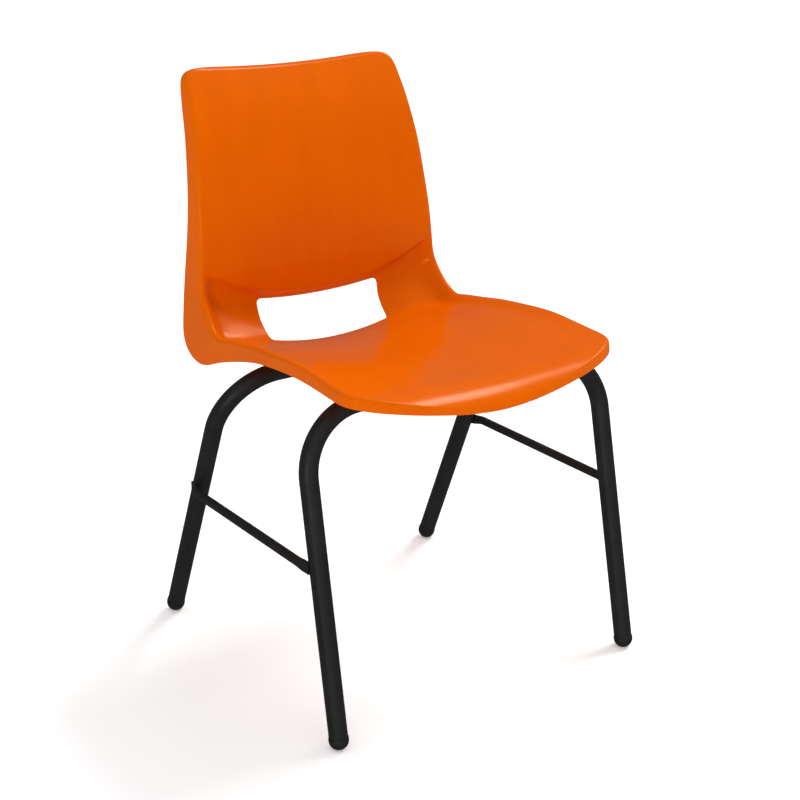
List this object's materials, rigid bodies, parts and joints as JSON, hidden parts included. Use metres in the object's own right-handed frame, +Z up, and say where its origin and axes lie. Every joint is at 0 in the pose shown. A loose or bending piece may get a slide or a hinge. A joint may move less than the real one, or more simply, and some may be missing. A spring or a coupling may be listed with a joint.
{
  "type": "stacking chair",
  "caption": "Stacking side chair: one-piece moulded plastic seat and back with a hand-hold slot, on a bent steel tube frame with side stretchers and plug feet.",
  "frame": {"origin": "on the floor, under the middle of the chair's bounding box", "axes": "+Z up, the sitter faces -Y, +X towards the sitter's left"},
  "size_m": [0.5214, 0.532, 0.8049],
  "materials": {
    "shell": "semi-gloss moulded polypropylene, orange",
    "frame": "black satin powder coat on steel tube",
    "hardware": "zinc plated",
    "plug": "black moulded polyethylene"
  },
  "bodies": {
    "root": {"seat_shell": "shell", "front_leg_frame": "frame", "rear_leg_frame": "frame", "left_stretcher": "frame", "right_stretcher": "frame", "left_seat_rail": "frame", "right_seat_rail": "frame", "front_left_mounting_plate": "frame", "front_right_mounting_plate": "frame", "rear_left_mounting_plate": "frame", "rear_right_mounting_plate": "frame", "fixing_washers": "hardware", "fixing_screws": "hardware", "front_left_foot_plug": "plug", "front_right_foot_plug": "plug", "rear_left_foot_plug": "plug", "rear_right_foot_plug": "plug"}
  },
  "joints": []
}
